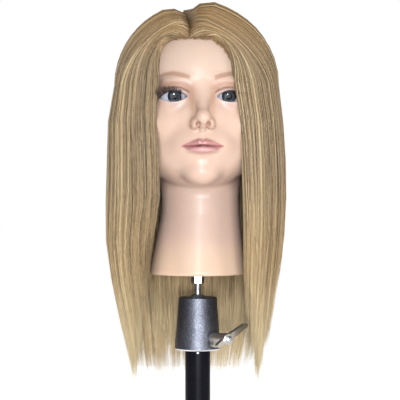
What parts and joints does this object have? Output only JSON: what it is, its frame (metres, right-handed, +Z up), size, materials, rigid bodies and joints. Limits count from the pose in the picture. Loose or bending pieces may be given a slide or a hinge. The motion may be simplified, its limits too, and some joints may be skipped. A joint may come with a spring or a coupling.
{
  "type": "mannequin training head",
  "caption": "Hairdressing training head with long straight hair on a lockable swivel-ball holder, with the top tube of its stand.",
  "frame": {"origin": "centre of the stand tube's open lower end", "axes": "+Z up along the tube, +X towards the head's left ear, and the face looks along -Y"},
  "size_m": [0.202, 0.2155, 0.466],
  "materials": {
    "black_gloss_paint": "gloss",
    "grey_powder_coat": "satin",
    "machined_aluminium": "satin",
    "zinc_steel": "satin",
    "bright_chrome": "polished",
    "dark_nickel": "satin",
    "brass": "satin",
    "white_nylon": "matte",
    "black_phenolic": "gloss",
    "black_plastic": "matte",
    "vinyl_skin": "matte",
    "foam": "matte",
    "eye_white": "gloss",
    "eye_iris": "satin",
    "eye_glass": "gloss",
    "lash_fibre": "matte",
    "hair": "satin"
  },
  "bodies": {
    "stand": {"pole_tube": "black_gloss_paint", "pole_plug": "zinc_steel", "anchor_screw": "zinc_steel", "housing_base": "machined_aluminium", "housing": "grey_powder_coat", "grub_screws": "zinc_steel", "upper_seat": "white_nylon", "clamp_boss": "dark_nickel", "boss_washer": "bright_chrome", "lock_pin": "dark_nickel"},
    "swivel": {"gimbal_ring": "brass", "cross_pin": "zinc_steel"},
    "ball_stud": {"swivel_ball": "black_phenolic", "ball_stud": "bright_chrome", "jam_nut": "bright_chrome", "plug_washer": "bright_chrome", "holder_plug": "black_plastic", "top_washer": "zinc_steel", "top_nut": "zinc_steel"},
    "head": {"neck_socket": "black_plastic", "base_plate": "black_plastic", "head_skin": "vinyl_skin", "head_foam": "foam", "neck_foam": "foam", "eyeball_right": "eye_white", "iris_right": "eye_iris", "cornea_right": "eye_glass", "lashes_right": "lash_fibre", "eyeball_left": "eye_white", "iris_left": "eye_iris", "cornea_left": "eye_glass", "lashes_left": "lash_fibre", "hair_crown": "hair", "hair_front_right": "hair", "hair_side_right": "hair", "hair_back_right": "hair", "hair_front_left": "hair", "hair_side_left": "hair", "hair_back_left": "hair"},
    "pad": {"thrust_pad": "brass"},
    "lever": {"clamp_screw": "zinc_steel", "clamp_lever": "dark_nickel", "lever_washer": "bright_chrome", "lever_screw": "bright_chrome"},
    "piston": {"wedge_piston": "white_nylon"}
  },
  "joints": [
    {"name": "swivel_turn", "type": "hinge", "parent": "stand", "child": "swivel", "pos_m": [0, 0, 0.125], "axis": [0, 0, 1], "continuous": true},
    {"name": "head_tilt", "type": "hinge", "parent": "swivel", "child": "ball_stud", "pos_m": [0, 0, 0.125], "axis": [1, 0, 0], "range_deg": [-25, 25]},
    {"name": "head_turn", "type": "hinge", "parent": "ball_stud", "child": "head", "pos_m": [0, 0, 0.161], "axis": [0, 0, 1], "continuous": true},
    {"name": "pad_slide", "type": "slide", "parent": "stand", "child": "pad", "axis": [0.5948, -0.8039, 0], "range_m": [0, 0.00036]},
    {"name": "lever_turn", "type": "hinge", "parent": "stand", "child": "lever", "pos_m": [0, 0, 0.092], "axis": [0.5948, -0.8039, 0], "range_deg": [0, 120]},
    {"name": "piston_slide", "type": "slide", "parent": "stand", "child": "piston", "axis": [0, 0, 1], "range_m": [-0.00021, 0]}
  ],
  "couplings": [
    {"joint": "pad_slide", "follows": "lever_turn", "m_per_rad": 0.00015915},
    {"joint": "piston_slide", "follows": "lever_turn", "m_per_rad": -0.000091888}
  ]
}
